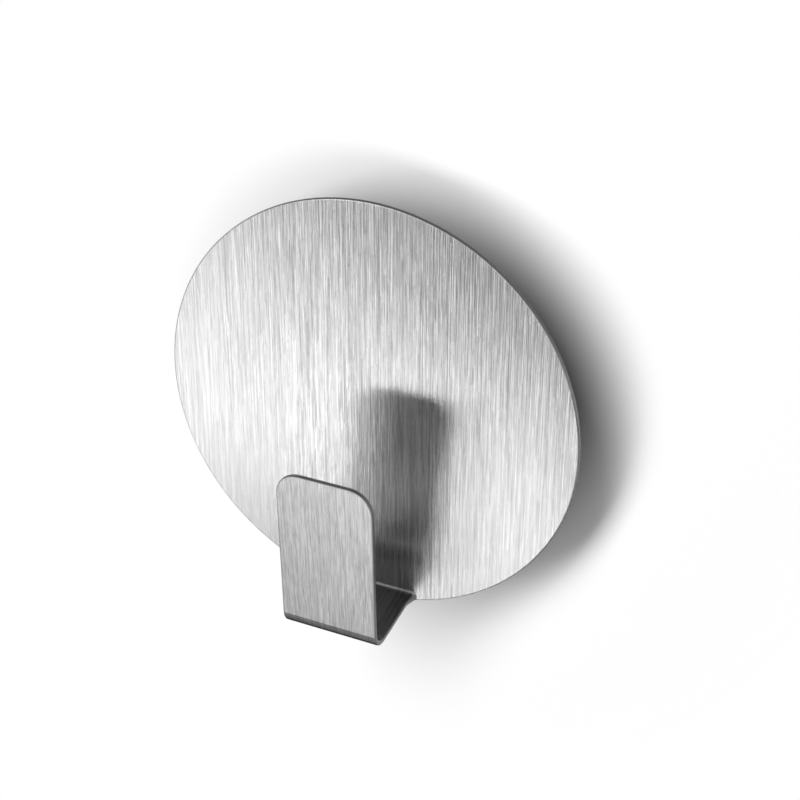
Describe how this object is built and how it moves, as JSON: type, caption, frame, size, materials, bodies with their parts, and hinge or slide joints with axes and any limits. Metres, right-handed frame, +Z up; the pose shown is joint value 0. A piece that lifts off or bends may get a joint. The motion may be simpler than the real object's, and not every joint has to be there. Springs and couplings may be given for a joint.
{
  "type": "magnetic hook",
  "caption": "Round brushed steel plate with a strip hook bent from its lower edge, held to a steel surface by a rubber-jacketed magnet pack glued behind it.",
  "frame": {"origin": "centre of the rubber face that rests on the wall", "axes": "+Y into the wall, so the plate faces -Y; +Z up; +X to the right for someone facing the wall"},
  "size_m": [0.05, 0.0182, 0.0501],
  "materials": {
    "brushed_stainless": "vertical brushed grain, satin",
    "foam_tape": "off-white acrylic foam, matte",
    "zinc_plated_steel": "bright zinc plating",
    "nickel_plating": "smooth nickel plating",
    "black_rubber": "moulded, matte"
  },
  "bodies": {
    "root": {"hook_plate": "brushed_stainless", "adhesive_pad": "foam_tape", "yoke_plate": "zinc_plated_steel", "magnet_1": "nickel_plating", "magnet_2": "nickel_plating", "magnet_3": "nickel_plating", "magnet_4": "nickel_plating", "magnet_5": "nickel_plating", "magnet_6": "nickel_plating", "rubber_jacket": "black_rubber"}
  },
  "joints": []
}
